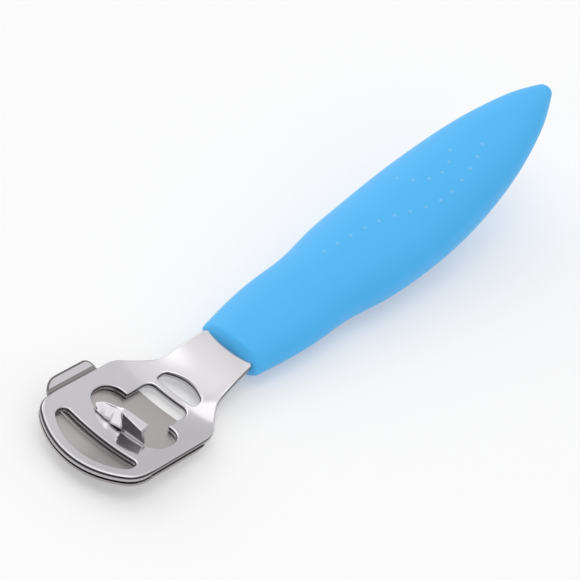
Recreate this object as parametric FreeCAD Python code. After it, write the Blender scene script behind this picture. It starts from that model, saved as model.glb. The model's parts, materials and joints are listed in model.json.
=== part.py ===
import FreeCAD, Part
import math
import os
from FreeCAD import Vector

# Callus shaver: a dished steel head with a thin blade clamped under it, on a moulded leaf-shaped
# handle.  Everything is first drawn in the head's own frame: X across the tool, Y from the front
# lip towards the handle, Z away from the skin, origin on the head's upper face at the middle of
# its width.  At the end the whole tool is laid down as it rests on a table.
# Lengths are in millimetres and angles in degrees.

# Head plate, one pressed sheet
plate_thickness = 1.4
dish_radius = 61.0            # hollow of the head across its width, at the upper face
head_half_width = 16.1
lip_y = -31.9                 # foremost point of the head
lip_radius = 24.0             # the front edge seen from above
lip_corner_radius = 6.0
lip_roll = 1.0                # rounding of the upper front edge
shoulder_y = 0.6              # where the sides start to run in to the neck
shoulder_radius = 8.0
neck_front_y = 10.3
neck_front_half_width = 9.1
neck_fillet = 9.0
neck_half_width = 7.9         # at the handle's mouth
mouth_y = 22.9                # front face of the handle, measured along Y
hole_edge_rounding = 0.3

# The head is bent up behind its flat length and bent back towards the handle's slope
bend_y = -3.5
bend_radius = 40.0
bend_angle = 25.0
back_bend_radius = 45.0
handle_front_slope = 10.5
neck_dish_radius = 130.0
tang_length = 34.0            # the part of the sheet that is moulded into the handle
tang_half_width = 6.2

# Crescent window for the shavings
window_half_width = 11.8
window_rear_y = -20.9
window_side_length = 0.5
window_front_radius = 19.0
window_front_corner = 2.6
window_rear_corner = 1.8

# Keyhole for the catch: a wide cross slot in front and a narrower one behind it
keyhole_front_y = -14.5
keyhole_cross_half_width = 11.8
keyhole_cross_length = 10.1
keyhole_end_radius = 4.6
keyhole_tail_half_width = 6.6
keyhole_tail_length = 8.0
keyhole_tail_corner = 2.2
keyhole_inner_corner = 0.5

# Half-moon hole at the root of the neck
moon_half_width = 6.1
moon_front_y = 5.4
moon_side_length = 0.9
moon_radius = 10.0
moon_rear_corner = 1.6
moon_front_corner = 0.9

# Blade, a flexed strip of steel that takes the head's curve
blade_clearance = 0.2         # between the head plate and the blade
blade_thickness = 0.3
blade_half_width = 16.4
blade_length = 22.4
blade_rear_corner = 4.5
blade_front_corner = 0.8
blade_overhang = 0.6          # how far the edge stands out under the crescent window
bevel_length = 1.1
bevel_depth = 0.22

# Clamp plate, one pressed sheet with its thumb tab and catch
clamp_thickness = 0.8
clamp_half_width = 16.2
clamp_setback = 0.9           # its front edge lies this far behind the head's lip
clamp_front_radius = 23.4
clamp_front_corner = 6.0
clamp_rear_y = -2.6
clamp_rear_corner = 1.6
mouth_slit_half_width = 14.8
mouth_slit_length = 1.5
mouth_slit_lead = 0.9         # how much of the slit lies in front of the blade's edge
mouth_slit_corner = 0.5
tab_reach = 4.2               # beyond the clamp plate's left side
tab_front_y = -21.8
tab_rear_y = -3.7
tab_front_corner = 6.2
tab_rear_corner = 2.2

# Catch: a tongue bent up out of the clamp plate, with a hammer head that grips the bridge
catch_clearance = 0.3         # between the catch and the keyhole's front edge
catch_stem_width = 4.8
catch_stem_offset = 1.0       # the stem stands to the left of the middle
catch_thickness = 0.7
catch_height = 4.3            # top of the catch above the head plate
catch_left_span = 8.2         # the left wing droops and leans forward
catch_left_height = 1.9
catch_left_lip_height = 1.0
catch_wing_reach = 0.65       # how far the left wing stands out over the bridge
catch_nose_left = -2.5
catch_nose_right = -0.5
catch_nose_reach = 0.9        # how far the nose stands out over the bridge
catch_nose_lift = 0.45
catch_right_span = 6.5        # the right wing has a top leaf and a skirt behind the keyhole's edge
catch_right_height = 3.0
catch_leaf_length = 3.5
catch_skirt_gap = 0.3
catch_skirt_lift = 0.25
catch_cutout_length = 7.2
catch_cutout_half_width = 7.6
blade_slot_clearance = 0.4

# Handle, one moulding along a gently bent centre line
handle_length = 126.9
mouth_advance = 1.1           # the handle starts this far in front of the end of the sheet's bends
handle_drop = 1.9             # centre line below the plate's upper face at the mouth
front_run = 48.2              # straight length behind the mouth
handle_bend_radius = 186.3
handle_rear_slope = 24.9
mouth_rounding = 2.0
tip_radius = 2.7
section_fullness = 0.59       # 0.55 is an ellipse, more is squarer
handle_widths = [(0.0, 18.3), (11.0, 21.8), (22.0, 23.6), (33.0, 23.9), (45.0, 27.3), (56.0, 28.9),
                 (67.0, 29.4), (79.0, 28.6), (90.0, 26.4), (101.0, 22.8), (111.0, 17.5), (120.0, 10.6)]
handle_depths = [(0.0, 9.7), (22.0, 11.6), (45.0, 14.7), (67.0, 16.1), (90.0, 14.7), (111.0, 9.6),
                 (120.0, 7.2)]

below = -30.0                 # reach of the cutting prisms under and over the tool
above = 80.0


def radians(degrees):
    return math.radians(degrees)


def fillet_point(before, corner, after, radius):
    """Tangent points and middle of a round of this radius between two straight lines."""
    back = (before - corner).normalize()
    ahead = (after - corner).normalize()
    half_angle = back.getAngle(ahead) / 2
    run = radius / math.tan(half_angle)
    centre = corner + (back + ahead).normalize() * (radius / math.sin(half_angle))
    middle = centre + (corner - centre).normalize() * radius
    return corner + back * run, middle, corner + ahead * run


def rounded_polygon(corners):
    """Face bounded by straight lines; each corner is (x, y, radius)."""
    points = [Vector(x, y, 0) for x, y, radius in corners]
    edges = []
    starts = []
    for i, (x, y, radius) in enumerate(corners):
        if radius > 0:
            first, middle, last = fillet_point(points[i - 1], points[i], points[(i + 1) % len(points)], radius)
            edges.append(Part.Arc(first, middle, last).toShape())
        else:
            first = last = points[i]
        starts.append((first, last))
    for i in range(len(starts)):
        here = starts[i][1]
        there = starts[(i + 1) % len(starts)][0]
        if here.distanceToPoint(there) > 1e-6:
            edges.append(Part.LineSegment(here, there).toShape())
    return Part.Face(Part.Wire(Part.__sortEdges__(edges)))


def both_sides(half):
    """Rounded face from the corners of its right half, mirrored to the left."""
    return rounded_polygon(half + [(-x, y, radius) for x, y, radius in reversed(half)])


def bow_depth(half_width, bow_radius, bow_corner):
    """How far a bowed end stands out beyond the straight sides it is rounded into."""
    return bow_radius - math.sqrt((bow_radius - bow_corner) ** 2 - (half_width - bow_corner) ** 2)


def bowed_outline(half_width, straight_y, bow_y, bow_radius, bow_corner, square_corner):
    """Face with one straight end, straight sides and one bowed end, all corners rounded."""
    way = 1 if bow_y > straight_y else -1
    centre_y = bow_y - way * bow_radius
    corner_x = half_width - bow_corner
    inner_radius = bow_radius - bow_corner
    rise = math.sqrt(inner_radius ** 2 - corner_x ** 2)
    side_y = centre_y + way * rise
    grow = bow_radius / inner_radius
    bow_end = Vector(corner_x * grow, centre_y + way * rise * grow, 0)
    corner_angle = (math.atan2(rise, corner_x)) / 2
    corner_mid = Vector(corner_x + bow_corner * math.cos(corner_angle),
                        side_y + way * bow_corner * math.sin(corner_angle), 0)
    square_mid = Vector(half_width - square_corner * (1 - math.sqrt(0.5)),
                        straight_y + way * square_corner * (1 - math.sqrt(0.5)), 0)
    flip = lambda p: Vector(-p.x, p.y, 0)
    side_bow = Vector(half_width, side_y, 0)
    side_square = Vector(half_width, straight_y + way * square_corner, 0)
    end_square = Vector(half_width - square_corner, straight_y, 0)
    edges = [Part.Arc(bow_end, Vector(0, bow_y, 0), flip(bow_end)).toShape(),
             Part.LineSegment(end_square, flip(end_square)).toShape()]
    for turn in (lambda p: p, flip):
        edges.append(Part.Arc(turn(bow_end), turn(corner_mid), turn(side_bow)).toShape())
        edges.append(Part.LineSegment(turn(side_bow), turn(side_square)).toShape())
        edges.append(Part.Arc(turn(side_square), turn(square_mid), turn(end_square)).toShape())
    return Part.Face(Part.Wire(Part.__sortEdges__(edges)))


def prism(face):
    """The face carried straight up and down through the whole tool."""
    lowered = face.copy()
    lowered.translate(Vector(0, 0, below))
    return lowered.extrude(Vector(0, 0, above - below))


def curve_through(pairs):
    """Smooth function of the first number in each pair, through all the pairs."""
    curve = Part.BSplineCurve()
    curve.interpolate([Vector(at, value, 0) for at, value in pairs])

    def value_at(at):
        line = Part.Line(Vector(at, 0, 0), Vector(at, 1, 0))
        return curve.intersect(line)[0].Y

    return value_at


def plate_station(distance):
    """Point and slope of the head plate's upper midline; distance runs from the start of the bend."""
    turn_back = bend_angle - handle_front_slope
    first = bend_radius * radians(bend_angle)
    second = back_bend_radius * radians(turn_back)
    if distance <= 0:
        return Vector(0, bend_y + distance, 0), 0.0
    slope = radians(min(distance / first, 1.0) * bend_angle)
    point = Vector(0, bend_y + bend_radius * math.sin(slope), bend_radius * (1 - math.cos(slope)))
    if distance <= first:
        return point, slope
    top = radians(bend_angle)
    slope = top - radians(min((distance - first) / second, 1.0) * turn_back)
    point += Vector(0, math.sin(top) - math.sin(slope), math.cos(slope) - math.cos(top)) * back_bend_radius
    rest = max(distance - first - second, 0.0)
    point += Vector(0, math.cos(slope), math.sin(slope)) * rest
    return point, slope


def dished_strip_section(point, slope, radius, half_width):
    """Cross-section of the sheet: two bows about one centre, in the plane square to its midline."""
    normal = Vector(0, -math.sin(slope), math.cos(slope))
    centre = point + normal * radius
    reach = math.asin(half_width / radius)

    def at(ring, angle):
        return centre + Vector(ring * math.sin(angle), 0, 0) - normal * (ring * math.cos(angle))

    def bow(ring, way):
        arm = 4 / 3 * math.tan(reach / 2) * ring * way
        lean = Vector(math.cos(reach), 0, 0) * arm
        rise = normal * (math.sin(reach) * arm * way)
        first = at(ring, -reach * way)
        last = at(ring, reach * way)
        curve = Part.BezierCurve()
        curve.setPoles([first, first + lean - rise, last - lean - rise, last])
        return curve.toShape()

    outer = radius + plate_thickness
    edges = [bow(radius, 1), Part.LineSegment(at(radius, reach), at(outer, reach)).toShape(),
             bow(outer, -1), Part.LineSegment(at(outer, -reach), at(radius, -reach)).toShape()]
    return Part.Wire(edges)


def tang_end_distance():
    mouth_distance = bend_radius * radians(bend_angle) + back_bend_radius * radians(bend_angle - handle_front_slope)
    return mouth_distance + tang_length


def head_sheet():
    """The bent and dished sheet before it is cut to its outline."""
    step = 4.0
    start = lip_y - 3 - bend_y
    end = tang_end_distance() + 2
    count = int(math.ceil((end - start) / step))
    sections = []
    for i in range(count + 1):
        distance = start + (end - start) * i / count
        point, slope = plate_station(distance)
        share = min(max(point.y - bend_y, 0) / (mouth_y - bend_y), 1.0)
        blend = share * share * (3 - 2 * share)
        bow = (1 - blend) / dish_radius + blend / neck_dish_radius
        sections.append(dished_strip_section(point, slope, 1 / bow, head_half_width + 4))
    return Part.makeLoft(sections, True, False)


def head_outline():
    front = bowed_outline(head_half_width, shoulder_y - shoulder_radius, lip_y, lip_radius,
                          lip_corner_radius, 0.01)
    tang_end = plate_station(tang_end_distance())[0].y
    half = [(head_half_width, shoulder_y - shoulder_radius - 2, 0), (head_half_width, shoulder_y, shoulder_radius),
            (neck_front_half_width, neck_front_y, neck_fillet), (neck_half_width, mouth_y, 0),
            (tang_half_width, mouth_y + 2, 0), (tang_half_width, tang_end, 1.5)]
    return prism(front).fuse(prism(both_sides(half))).removeSplitter()


def keyhole_outline():
    cross_rear_y = keyhole_front_y + keyhole_cross_length
    tail_rear_y = cross_rear_y + keyhole_tail_length
    half = [(keyhole_cross_half_width, keyhole_front_y, keyhole_end_radius),
            (keyhole_cross_half_width, cross_rear_y, keyhole_end_radius),
            (keyhole_tail_half_width, cross_rear_y, keyhole_inner_corner),
            (keyhole_tail_half_width, tail_rear_y, keyhole_tail_corner)]
    return both_sides(half)


def window_outline():
    front_y = (window_rear_y - window_rear_corner - window_side_length
               - bow_depth(window_half_width, window_front_radius, window_front_corner))
    return bowed_outline(window_half_width, window_rear_y, front_y, window_front_radius,
                         window_front_corner, window_rear_corner)


def moon_outline():
    rear_y = (moon_front_y + moon_front_corner + moon_side_length
              + bow_depth(moon_half_width, moon_radius, moon_rear_corner))
    return bowed_outline(moon_half_width, moon_front_y, rear_y, moon_radius,
                         moon_rear_corner, moon_front_corner)


def upper_edges(shape, face):
    """Edges of the shape's upper face that lie along this outline."""
    rim = prism(face)
    wall = rim.Shells[0]
    found = []
    for edge in shape.Edges:
        middle = edge.valueAt((edge.FirstParameter + edge.LastParameter) / 2)
        upper = middle.z - plate_height(middle.x, middle.y)
        if abs(upper) < 0.2 and wall.distToShape(Part.Vertex(middle))[0] < 0.01:
            if edge.BoundBox.ZLength < 8:
                found.append(edge)
    return found


def plate_height(x, y):
    """Rough height of the plate's upper face, to tell its upper edges from its lower ones."""
    distance = y - bend_y
    for turn in range(20):
        point, slope = plate_station(distance)
        distance += (y - point.y) * math.cos(slope)
    share = min(max(y - bend_y, 0) / (mouth_y - bend_y), 1.0)
    blend = share * share * (3 - 2 * share)
    bow = (1 - blend) / dish_radius + blend / neck_dish_radius
    return point.z + x * x * bow / 2


def head_plate():
    """Dished head, neck and tang in one sheet, with its three openings."""
    plate = head_sheet().common(head_outline())
    for outline in (window_outline(), keyhole_outline(), moon_outline()):
        plate = plate.cut(prism(outline))
    plate = plate.Solids[0]
    for outline in (window_outline(), keyhole_outline(), moon_outline()):
        plate = plate.makeFillet(hole_edge_rounding, upper_edges(plate, outline))
    front = bowed_outline(head_half_width, shoulder_y - shoulder_radius, lip_y, lip_radius,
                          lip_corner_radius, 0.01)
    lip = [edge for edge in upper_edges(plate, front) if edge.CenterOfMass.y < lip_y + 10]
    return plate.makeFillet(lip_roll, lip)


def dished_layer(top_gap, thickness, face):
    """Sheet under the head plate that follows the same dish, cut to this outline."""
    inner_radius = dish_radius + plate_thickness + top_gap
    start = Vector(0, lip_y - 5, dish_radius)
    length = neck_front_y - lip_y
    outer = Part.makeCylinder(inner_radius + thickness, length, start, Vector(0, 1, 0))
    inner = Part.makeCylinder(inner_radius, length, start, Vector(0, 1, 0))
    lowered = face.copy()
    lowered.translate(Vector(0, 0, below))
    column = lowered.extrude(Vector(0, 0, -below + dish_radius / 2))
    return outer.cut(inner).common(column)


def blade_edge_y():
    return window_rear_y - blade_overhang


def stem_front_y():
    return keyhole_front_y + catch_clearance


def blade():
    """Flexed blade with rounded rear corners, a slot for the catch and a honed front edge."""
    front_y = blade_edge_y()
    rear_y = front_y + blade_length
    outline = both_sides([(blade_half_width, front_y, blade_front_corner),
                          (blade_half_width, rear_y, blade_rear_corner)])
    shape = dished_layer(blade_clearance, blade_thickness, outline)
    slot_half = catch_stem_width / 2 + catch_stem_offset + blade_slot_clearance
    slot_front = stem_front_y() - blade_slot_clearance
    slot_rear = stem_front_y() + catch_thickness + blade_slot_clearance
    slot = both_sides([(slot_half, slot_front, 0.4), (slot_half, slot_rear, 0.4)])
    return shape.cut(prism(slot)).cut(bevel_cutter(front_y)).Solids[0]


def bevel_cutter(front_y):
    """Ring with a wedge section that hones the underside of the blade's front edge."""
    under = dish_radius + plate_thickness + blade_clearance + blade_thickness
    corners = [Vector(0, front_y - 1, dish_radius - under - 1),
               Vector(0, front_y + bevel_length, dish_radius - under - 1),
               Vector(0, front_y + bevel_length, dish_radius - under),
               Vector(0, front_y, dish_radius - under + bevel_depth),
               Vector(0, front_y - 1, dish_radius - under + bevel_depth)]
    profile = Part.Face(Part.makePolygon(corners + corners[:1]))
    return profile.revolve(Vector(0, 0, dish_radius), Vector(0, 1, 0), 360)


def folded_section(rear, ridge, lip):
    """Bent strip: from the rear edge to the ridge, then down to the lip, one thickness deep."""
    first = (ridge - rear).normalize()
    second = (lip - ridge).normalize()
    plane = first.cross(second).normalize()
    under_first = plane.cross(first)
    under_second = plane.cross(second)
    share = catch_thickness / (1 + under_first.dot(under_second))
    inner = [lip + under_second * catch_thickness, ridge + (under_first + under_second) * share,
             rear + under_first * catch_thickness]
    corners = [rear, ridge, lip] + inner
    return Part.makePolygon(corners + corners[:1])


def catch_head():
    """Folded head of the catch: a drooping left wing, a hooked nose and a right wing with a skirt."""
    edge = keyhole_front_y
    wing_lip = edge - catch_wing_reach
    skirt = edge + catch_skirt_gap
    left, right, top = -catch_left_span, catch_right_span, catch_height
    nose_left, nose_right = catch_nose_left, catch_nose_right
    low = catch_left_lip_height
    middle = (left + nose_left) / 2
    stations = [
        (Vector(left - 0.1, edge + 1.4, catch_left_height - 0.3), Vector(left, edge + 1.0, catch_left_height),
         Vector(left + 0.8, wing_lip, low + 0.35)),
        (Vector(middle - 0.2, edge + 1.4, (catch_left_height + top) / 2 - 0.2),
         Vector(middle, edge + 0.8, (catch_left_height + top) / 2), Vector(middle, wing_lip, low)),
        (Vector(nose_left - 0.8, edge + 1.2, top - 0.6), Vector(nose_left - 0.6, edge + 0.6, top - 0.4),
         Vector(nose_left - 1.1, wing_lip, low)),
        (Vector(nose_left, edge + 1.2, top - 0.2), Vector(nose_left, edge + 0.35, top - 0.2),
         Vector(nose_left + 0.3, edge - catch_nose_reach, catch_nose_lift)),
        (Vector(nose_right - 0.7, edge + 1.2, top), Vector(nose_right, edge, top - 0.1),
         Vector(nose_right + 1.1, edge - catch_nose_reach / 2, catch_nose_lift + 0.25)),
        (Vector(nose_right - 0.4, edge + 1.3, top), Vector(nose_right + 0.3, skirt, top - 0.05),
         Vector(nose_right + 1.6, skirt, catch_skirt_lift)),
        (Vector(right - 0.5, skirt + catch_leaf_length, catch_right_height), Vector(right, skirt, catch_right_height),
         Vector(right + 1.5, skirt, catch_skirt_lift)),
    ]
    return Part.makeLoft([folded_section(*station) for station in stations], True, True)


def catch():
    """Stem bent up from the clamp plate, with the folded head on top of it."""
    clamp_bottom = -(plate_thickness + blade_clearance + blade_thickness + clamp_thickness)
    stem = Part.makeBox(catch_stem_width, catch_thickness, catch_height - 0.65 - clamp_bottom,
                        Vector(-catch_stem_width / 2 - catch_stem_offset, stem_front_y(), clamp_bottom))
    return stem.fuse(catch_head()).removeSplitter()


def clamp_plate():
    """Sole of the tool: presses the blade up, with a slit for its edge, a thumb tab and the catch."""
    front = bowed_outline(clamp_half_width, clamp_rear_y, lip_y + clamp_setback, clamp_front_radius,
                          clamp_front_corner, clamp_rear_corner)
    inside = -clamp_half_width + tab_front_corner
    tab = rounded_polygon([(inside, tab_front_y, 0), (-clamp_half_width - tab_reach, tab_front_y, tab_front_corner),
                           (-clamp_half_width - tab_reach, tab_rear_y, tab_rear_corner), (inside, tab_rear_y, 0)])
    top_gap = blade_clearance + blade_thickness
    sheet = dished_layer(top_gap, clamp_thickness, front)
    sheet = sheet.fuse(dished_layer(top_gap, clamp_thickness, tab)).removeSplitter()
    slit_front = blade_edge_y() - mouth_slit_lead
    slit_rear = slit_front + mouth_slit_length
    slit = both_sides([(mouth_slit_half_width, slit_front, mouth_slit_corner),
                       (mouth_slit_half_width, slit_rear, mouth_slit_corner)])
    sheet = sheet.cut(prism(slit))
    cut_front = stem_front_y() + catch_thickness
    cut_rear = cut_front + catch_cutout_length
    cutout = both_sides([(catch_cutout_half_width, cut_front, 0.8), (catch_cutout_half_width, cut_rear, 0.8)])
    return sheet.cut(prism(cutout)).fuse(catch()).removeSplitter()


def handle_spine(distance):
    """Point and slope of the handle's centre line at this distance behind the mouth."""
    point, slope = plate_station(tang_end_distance() - tang_length)
    start = point - Vector(0, math.cos(slope), math.sin(slope)) * mouth_advance
    start += Vector(0, math.sin(slope), -math.cos(slope)) * handle_drop
    turn = radians(handle_rear_slope) - slope
    arc_length = handle_bend_radius * turn
    first = min(distance, front_run)
    point = start + Vector(0, math.cos(slope), math.sin(slope)) * first
    bent = min(max(distance - front_run, 0.0), arc_length)
    here = slope + bent / handle_bend_radius
    point += Vector(0, math.sin(here) - math.sin(slope), math.cos(slope) - math.cos(here)) * handle_bend_radius
    last = max(distance - front_run - arc_length, 0.0)
    return point + Vector(0, math.cos(here), math.sin(here)) * last, here


def handle_section(distance, half_width, half_depth):
    """Four quarter curves, a little squarer than an ellipse, in the plane square to the centre line."""
    point, slope = handle_spine(distance)
    up = Vector(0, -math.sin(slope), math.cos(slope)) * half_depth
    side = Vector(half_width, 0, 0)
    edges = []
    for first, last in ((side, up), (up, -side), (-side, -up), (-up, side)):
        curve = Part.BezierCurve()
        curve.setPoles([point + first, point + first + last * section_fullness,
                        point + last + first * section_fullness, point + last])
        edges.append(curve.toShape())
    return Part.Wire(edges)


def handle_blank():
    """Loft along the centre line, rounded over at the mouth and at the tip."""
    last = handle_widths[-1][0]
    tip_start = handle_length - tip_radius * (1 - math.sin(radians(25)))
    tip_half = tip_radius * math.cos(radians(25))
    tip_flat = 0.75
    width_at = curve_through(handle_widths + [(tip_start, 2 * tip_half)])
    depth_at = curve_through(handle_depths + [(tip_start, 2 * tip_half * tip_flat)])
    sections = []
    for i in range(3):
        lean = radians(90 * i / 3)
        distance = mouth_rounding * (1 - math.cos(lean))
        inset = mouth_rounding * (1 - math.sin(lean))
        sections.append(handle_section(distance, width_at(distance) / 2 - inset, depth_at(distance) / 2 - inset))
    steps = 12
    for i in range(steps + 1):
        distance = mouth_rounding + (tip_start - mouth_rounding) * i / steps
        sections.append(handle_section(distance, width_at(distance) / 2, depth_at(distance) / 2))
    for lean in (48, 72):
        distance = handle_length - tip_radius * (1 - math.sin(radians(lean)))
        reach = tip_radius * math.cos(radians(lean))
        sections.append(handle_section(distance, reach, reach * tip_flat))
    return Part.makeLoft(sections, True, False)


def lowest(shapes, tilt):
    """Lowest point of these shapes once the tool is tilted about X."""
    depth = 1e9
    for shape in shapes:
        turned = shape.copy()
        turned.rotate(Vector(0, 0, 0), Vector(1, 0, 0), tilt)
        depth = min(depth, turned.optimalBoundingBox(False, False).ZMin)
    return depth


def rest_tilt(parts):
    """Tilt at which the sole and the handle's belly touch the table together."""
    low, high = -25.0, 5.0
    for turn in range(22):
        tilt = (low + high) / 2
        sole = lowest([parts["clamp_plate"]], tilt)
        belly = lowest([parts["handle"]], tilt)
        if sole > belly:
            high, low = high, tilt
        else:
            high = tilt
    return tilt


def main():
    os.makedirs("parts", exist_ok=True)
    plate = head_plate()
    parts = {"head_plate": plate, "handle": handle_blank().cut(plate), "blade": blade(),
             "clamp_plate": clamp_plate()}
    parts = {name: shape.Solids[0] for name, shape in parts.items()}
    tilt = rest_tilt(parts)
    for shape in parts.values():
        shape.rotate(Vector(0, 0, 0), Vector(1, 0, 0), tilt)
    box = Part.makeCompound(list(parts.values())).optimalBoundingBox(False, False)
    shift = Vector(-box.Center.x, -box.Center.y, -box.ZMin)
    for name, shape in parts.items():
        shape.translate(shift)
        shape.exportStep("parts/" + name + ".step")
        print(name, len(shape.Solids), round(shape.Volume, 1), shape.isValid())
    print("tilt", tilt, "shift", shift.x, shift.y, shift.z)


main()
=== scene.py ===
import json
import math

import bpy
import numpy as np
from mathutils import Matrix, Vector
from mathutils.geometry import delaunay_2d_cdt


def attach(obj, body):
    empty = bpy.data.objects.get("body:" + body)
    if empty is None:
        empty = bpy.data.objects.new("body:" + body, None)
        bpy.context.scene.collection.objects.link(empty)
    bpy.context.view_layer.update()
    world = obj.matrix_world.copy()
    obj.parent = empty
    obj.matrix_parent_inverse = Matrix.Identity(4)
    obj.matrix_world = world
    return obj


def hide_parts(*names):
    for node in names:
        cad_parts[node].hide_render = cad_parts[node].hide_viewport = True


bl_info = {
    "name": "Callus Shaver",
    "version": (1, 0, 0),
    "blender": (4, 5, 0),
    "location": "3D View > Sidebar > Callus Shaver",
    "description": "Dished steel shaving head with a clamped blade, on a moulded leaf-shaped handle",
    "category": "Object",
}

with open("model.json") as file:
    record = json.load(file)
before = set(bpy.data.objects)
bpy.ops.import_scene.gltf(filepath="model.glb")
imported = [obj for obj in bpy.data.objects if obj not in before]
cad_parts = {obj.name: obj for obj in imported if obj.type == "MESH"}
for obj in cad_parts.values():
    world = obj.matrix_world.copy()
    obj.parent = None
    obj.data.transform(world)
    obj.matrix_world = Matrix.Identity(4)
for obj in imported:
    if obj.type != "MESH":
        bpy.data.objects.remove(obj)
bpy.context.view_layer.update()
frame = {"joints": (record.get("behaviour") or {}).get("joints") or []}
SLIDE_AXIS = frame["joints"][0]["axis"]
HEAD_LEAN = math.atan2(SLIDE_AXIS[2], SLIDE_AXIS[1])
REST_SHIFT = (2.0, -58.1864, 2.3778)  # the head's origin in the row frame, mm


# Sizes of the head are in millimetres in the head's own frame: X across the tool, Y from the front
# lip towards the handle, Z away from the skin, origin on the upper face at the middle of its width.


def in_mm(name, description, default, **limits):
    """A length that a user can change, in millimetres."""
    return bpy.props.FloatProperty(name=name, description=f"{description}, mm", default=default, **limits)


def finish(name, description, default):
    """A colour that a user can change."""
    return bpy.props.FloatVectorProperty(name=name, description=description, default=default,
                                         subtype="COLOR", size=3, min=0.0, max=1.0)


class HeadSizes(bpy.types.PropertyGroup):
    plate_thickness: in_mm("Plate thickness", "Thickness of the head's sheet", 1.4)
    dish_radius: in_mm("Dish radius", "Hollow of the head across its width", 61.0)
    neck_dish_radius: in_mm("Neck dish radius", "Hollow of the neck at the handle", 130.0)
    half_width: in_mm("Half width", "Half of the head's width", 16.1)
    lip_y: in_mm("Lip", "Foremost point of the head", -31.9)
    lip_radius: in_mm("Lip radius", "Front edge of the head seen from above", 24.0)
    lip_corner: in_mm("Lip corner", "Rounding between the front edge and the sides", 6.0)
    lip_roll: in_mm("Lip roll", "Rounding of the upper front edge", 1.0)
    edge_rounding: in_mm("Edge rounding", "Rounding of the other upper edges", 0.42)
    bend_y: in_mm("Bend", "Where the head starts to bend up", -3.5)
    mouth_y: in_mm("Mouth", "Where the sheet goes in to the handle", 22.9)
    spacing: in_mm("Mesh spacing", "Size of the faces on the head", 0.8, min=0.3)


class BladeSizes(bpy.types.PropertyGroup):
    clearance: in_mm("Clearance", "Gap between the head plate and the blade", 0.2)
    thickness: in_mm("Thickness", "Thickness of the blade", 0.3)
    half_width: in_mm("Half width", "Half of the blade's length across the tool", 16.4)
    edge_y: in_mm("Edge", "Place of the cutting edge", -21.5)
    depth: in_mm("Depth", "Size of the blade from its edge to its back", 22.4)
    bevel: in_mm("Bevel", "Width of the honed bevel", 1.1)


class ClampSizes(bpy.types.PropertyGroup):
    thickness: in_mm("Thickness", "Thickness of the sole plate", 0.8)
    half_width: in_mm("Half width", "Half of the sole plate's width", 16.2)
    front_y: in_mm("Front", "Front edge of the sole plate", -31.75)
    front_radius: in_mm("Front radius", "Front edge of the sole plate seen from above", 24.0)
    rear_y: in_mm("Rear", "Rear edge of the sole plate", -2.6)
    tab_reach: in_mm("Tab reach", "How far the thumb tab stands out", 4.2)
    catch_thickness: in_mm("Catch thickness", "Thickness of the folded catch", 0.7)
    catch_height: in_mm("Catch height", "Top of the catch above the head plate", 4.3)
    nose_reach: in_mm("Nose reach", "How far the catch's nose hooks over the bridge", 0.9)
    left_span: in_mm("Left wing", "Reach of the drooping wing", 8.2)
    right_span: in_mm("Right wing", "Reach of the level wing", 6.5)


class HandleSizes(bpy.types.PropertyGroup):
    length: in_mm("Length", "Length of the handle along its middle", 126.9)
    advance: in_mm("Advance", "Start of the handle in front of the end of the sheet's bends", 1.1)
    drop: in_mm("Drop", "Middle of the handle below the sheet at its mouth", 1.9)
    front_run: in_mm("Front run", "Straight length behind the mouth", 48.2)
    bend_radius: in_mm("Bend radius", "Sweep of the handle", 186.3)
    rear_slope: bpy.props.FloatProperty(
        name="Rear slope", description="Slope of the rear half against the head, degrees", default=24.9)
    tip_radius: in_mm("Tip radius", "Rounding of the handle's tip", 2.7)
    mouth_rounding: in_mm("Mouth rounding", "Rounding at the handle's front edge", 2.0)
    fullness: bpy.props.FloatProperty(
        name="Fullness", description="0.55 gives an ellipse, more is squarer", default=0.59)
    dot_radius: in_mm("Dot radius", "Radius of a raised grip dot", 0.5)
    dot_height: in_mm("Dot height", "How far a grip dot stands up", 0.1)


class Finishes(bpy.types.PropertyGroup):
    handle_color: finish("Handle", "Colour of the moulding", (0.065, 0.47, 0.92))
    plating_color: finish("Plating", "Colour of the plated steel", (0.635, 0.62, 0.645))
    satin_color: finish("Satin plating", "Colour of the sole plate's satin face", (0.46, 0.435, 0.435))
    blade_color: finish("Blade", "Colour of the ground blade steel", (0.475, 0.45, 0.445))


def sizes(name):
    return getattr(bpy.context.scene, f"shaver_{name}")


def laid_down(points):
    """Head frame in mm to row frame in m: turned about X by the slide's slope, then shifted."""
    x, y, z = points.T
    cosine, sine = SLIDE_AXIS[1], SLIDE_AXIS[2]
    turned = np.column_stack((x, y * cosine - z * sine, y * sine + z * cosine))
    return (turned + REST_SHIFT) / 1000


def mesh_piece(name, shape, body, slot, nodes, material, sharp=None, **measures):
    """Object from head-frame vertices and faces; it rides on the body and stands for the nodes.

    Each measure is one number for each vertex, which the material reads by its name.
    """
    vertices, faces = shape
    mesh = bpy.data.meshes.new(name)
    mesh.from_pydata(laid_down(vertices).tolist(), [], faces)
    mesh.validate()
    mesh.shade_smooth()
    if sharp is not None:
        mesh.set_sharp_from_angle(angle=math.radians(sharp))
    for measure, values in measures.items():
        mesh.attributes.new(measure, "FLOAT", "POINT").data.foreach_set("value", np.asarray(values, float))
    mesh.materials.append(material)
    piece = bpy.data.objects.new(name, mesh)
    bpy.context.scene.collection.objects.link(piece)
    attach(piece, body)
    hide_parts(*nodes)


# Outlines: closed loops of points in plan, evenly spaced once they pass through evenly().

ARC_STEP = 0.02  # spacing of the points on a round corner, mm
FEWEST_POINTS = 12


def evenly(points, spacing):
    """Closed polyline resampled at even steps along its length."""
    ring = np.vstack((points, points[:1]))
    along = np.concatenate(([0.0], np.cumsum(np.hypot(*np.diff(ring, axis=0).T))))
    count = max(int(round(along[-1] / spacing)), FEWEST_POINTS)
    at = np.linspace(0, along[-1], count, endpoint=False)
    return np.column_stack((np.interp(at, along, ring[:, 0]), np.interp(at, along, ring[:, 1])))


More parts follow.
